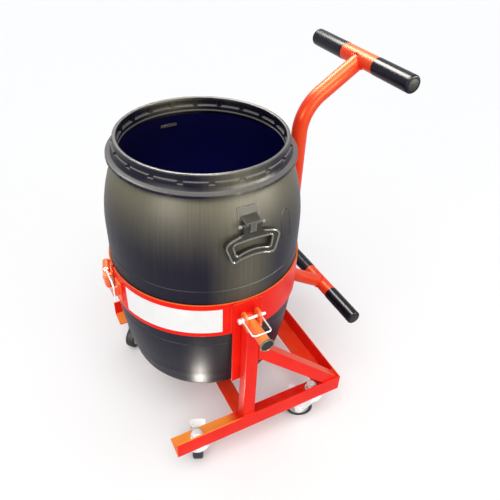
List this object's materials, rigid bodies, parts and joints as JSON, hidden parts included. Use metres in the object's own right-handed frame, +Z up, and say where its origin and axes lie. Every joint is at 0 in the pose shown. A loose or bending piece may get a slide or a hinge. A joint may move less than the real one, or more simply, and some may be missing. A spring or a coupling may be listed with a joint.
{
  "type": "tilting barrel cart",
  "caption": "Barrel cart: an open mixing barrel in a steel band that tilts on side trunnions, with push handles behind and a rail frame on swivel casters.",
  "frame": {"origin": "on the floor, under the middle of the cart's overall box", "axes": "+Z up, +X to the rear where the handles are, +Y to the far side"},
  "size_m": [0.664, 0.65, 0.942],
  "materials": {
    "red_paint": "glossy orange-red paint",
    "black_plastic": "satin black moulded plastic",
    "grip_plastic": "glossy black soft plastic",
    "zinc_steel": "bright zinc plating",
    "tyre_rubber": "black rubber tread",
    "hub_plastic": "pale grey moulded plastic",
    "plug_plastic": "dark grey plastic plug",
    "label_film": "white printed film, left bare"
  },
  "bodies": {
    "base_frame": {"side_rail_near": "red_paint", "side_rail_far": "red_paint", "rear_rail": "red_paint", "cross_bar": "red_paint", "post_near": "red_paint", "post_far": "red_paint", "brace_near": "red_paint", "brace_far": "red_paint", "saddle_near": "red_paint", "saddle_far": "red_paint", "lock_pin_near": "zinc_steel", "lock_pin_far": "zinc_steel", "kingpins": "zinc_steel", "kingpin_nuts": "zinc_steel", "kingpin_washers": "zinc_steel"},
    "cradle": {"barrel": "black_plastic", "band": "red_paint", "hanger_near": "red_paint", "hanger_far": "red_paint", "trunnion_near": "red_paint", "trunnion_far": "red_paint", "trunnion_plug_near": "plug_plastic", "trunnion_plug_far": "plug_plastic", "label_plate": "label_film", "handle_tube": "red_paint", "upper_bar": "red_paint", "upper_grip_near": "grip_plastic", "upper_grip_far": "grip_plastic", "lower_bar": "red_paint", "lower_grip_near": "grip_plastic", "lower_grip_far": "grip_plastic", "latch_base": "red_paint", "latch_catch": "red_paint", "handle_clip_near": "black_plastic", "handle_clip_far": "black_plastic"},
    "lock_bail_near": {"lock_bail_near": "zinc_steel"},
    "lock_bail_far": {"lock_bail_far": "zinc_steel"},
    "latch_lever": {"latch_lever": "red_paint"},
    "latch_bail": {"latch_bail": "zinc_steel"},
    "drop_handle_near": {"drop_handle_near": "black_plastic"},
    "drop_handle_far": {"drop_handle_far": "black_plastic"},
    "caster_fork_front_near": {"fork_front_near": "zinc_steel", "axle_front_near": "zinc_steel"},
    "caster_wheel_front_near": {"hub_front_near": "hub_plastic", "tyre_front_near": "tyre_rubber"},
    "caster_fork_rear_near": {"fork_rear_near": "zinc_steel", "axle_rear_near": "zinc_steel"},
    "caster_wheel_rear_near": {"hub_rear_near": "hub_plastic", "tyre_rear_near": "tyre_rubber"},
    "caster_fork_front_far": {"fork_front_far": "zinc_steel", "axle_front_far": "zinc_steel"},
    "caster_wheel_front_far": {"hub_front_far": "hub_plastic", "tyre_front_far": "tyre_rubber"},
    "caster_fork_rear_far": {"fork_rear_far": "zinc_steel", "axle_rear_far": "zinc_steel"},
    "caster_wheel_rear_far": {"hub_rear_far": "hub_plastic", "tyre_rear_far": "tyre_rubber"},
    "brake_pedal_front_near": {"brake_pedal_front_near": "zinc_steel"},
    "brake_pedal_rear_near": {"brake_pedal_rear_near": "zinc_steel"}
  },
  "joints": [
    {"name": "cradle_tilt", "type": "hinge", "parent": "base_frame", "child": "cradle", "pos_m": [-0.08098, 0, 0.477], "axis": [0, -1, 0], "range_deg": [0, 120]},
    {"name": "lock_bail_near_swing", "type": "hinge", "parent": "base_frame", "child": "lock_bail_near", "pos_m": [-0.08098, -0.25205, 0.4938], "axis": [-1, 0, 0], "range_deg": [0, 100]},
    {"name": "drop_handle_near_swing", "type": "hinge", "parent": "cradle", "child": "drop_handle_near", "pos_m": [-0.07444, -0.22049, 0.719], "axis": [-0.9996, -0.0297, 0], "range_deg": [0, 90]},
    {"name": "lock_bail_far_swing", "type": "hinge", "parent": "base_frame", "child": "lock_bail_far", "pos_m": [-0.08098, 0.25205, 0.4938], "axis": [1, 0, 0], "range_deg": [0, 100]},
    {"name": "drop_handle_far_swing", "type": "hinge", "parent": "cradle", "child": "drop_handle_far", "pos_m": [-0.08753, 0.22049, 0.719], "axis": [0.9996, 0.0297, 0], "range_deg": [0, 90]},
    {"name": "latch_lever_turn", "type": "hinge", "parent": "cradle", "child": "latch_lever", "pos_m": [-0.32328, 0.01, 0.481], "axis": [0, 0, 1], "range_deg": [0, 120]},
    {"name": "latch_bail_turn", "type": "hinge", "parent": "latch_lever", "child": "latch_bail", "pos_m": [-0.32241, 0.02247, 0.481], "axis": [0, 0, 1], "range_deg": [-120, 0]},
    {"name": "swivel_front_near", "type": "hinge", "parent": "base_frame", "child": "caster_fork_front_near", "pos_m": [-0.21448, -0.24205, 0.11], "axis": [0, 0, 1], "continuous": true},
    {"name": "wheel_spin_front_near", "type": "hinge", "parent": "caster_fork_front_near", "child": "caster_wheel_front_near", "pos_m": [-0.2035, -0.21738, 0.038], "axis": [-0.9135, 0.4067, 0], "continuous": true},
    {"name": "brake_press_front_near", "type": "hinge", "parent": "caster_fork_front_near", "child": "brake_pedal_front_near", "pos_m": [-0.19801, -0.20505, 0.092], "axis": [-0.9135, 0.4067, 0], "range_deg": [0, 10]},
    {"name": "swivel_rear_near", "type": "hinge", "parent": "base_frame", "child": "caster_fork_rear_near", "pos_m": [0.12752, -0.24205, 0.11], "axis": [0, 0, 1], "continuous": true},
    {"name": "wheel_spin_rear_near", "type": "hinge", "parent": "caster_fork_rear_near", "child": "caster_wheel_rear_near", "pos_m": [0.10368, -0.22937, 0.038], "axis": [-0.4695, -0.8829, 0], "continuous": true},
    {"name": "brake_press_rear_near", "type": "hinge", "parent": "caster_fork_rear_near", "child": "brake_pedal_rear_near", "pos_m": [0.09176, -0.22304, 0.092], "axis": [-0.4695, -0.8829, 0], "range_deg": [0, 10]},
    {"name": "swivel_front_far", "type": "hinge", "parent": "base_frame", "child": "caster_fork_front_far", "pos_m": [-0.21448, 0.24205, 0.11], "axis": [0, 0, 1], "continuous": true},
    {"name": "wheel_spin_front_far", "type": "hinge", "parent": "caster_fork_front_far", "child": "caster_wheel_front_far", "pos_m": [-0.23517, 0.2247, 0.038], "axis": [0.6428, -0.766, 0], "continuous": true},
    {"name": "swivel_rear_far", "type": "hinge", "parent": "base_frame", "child": "caster_fork_rear_far", "pos_m": [0.12752, 0.24205, 0.11], "axis": [0, 0, 1], "continuous": true},
    {"name": "wheel_spin_rear_far", "type": "hinge", "parent": "caster_fork_rear_far", "child": "caster_wheel_rear_far", "pos_m": [0.10214, 0.25128, 0.038], "axis": [-0.342, -0.9397, 0], "continuous": true}
  ],
  "couplings": [
    {"joint": "latch_bail_turn", "follows": "latch_lever_turn", "ratio": -1}
  ]
}
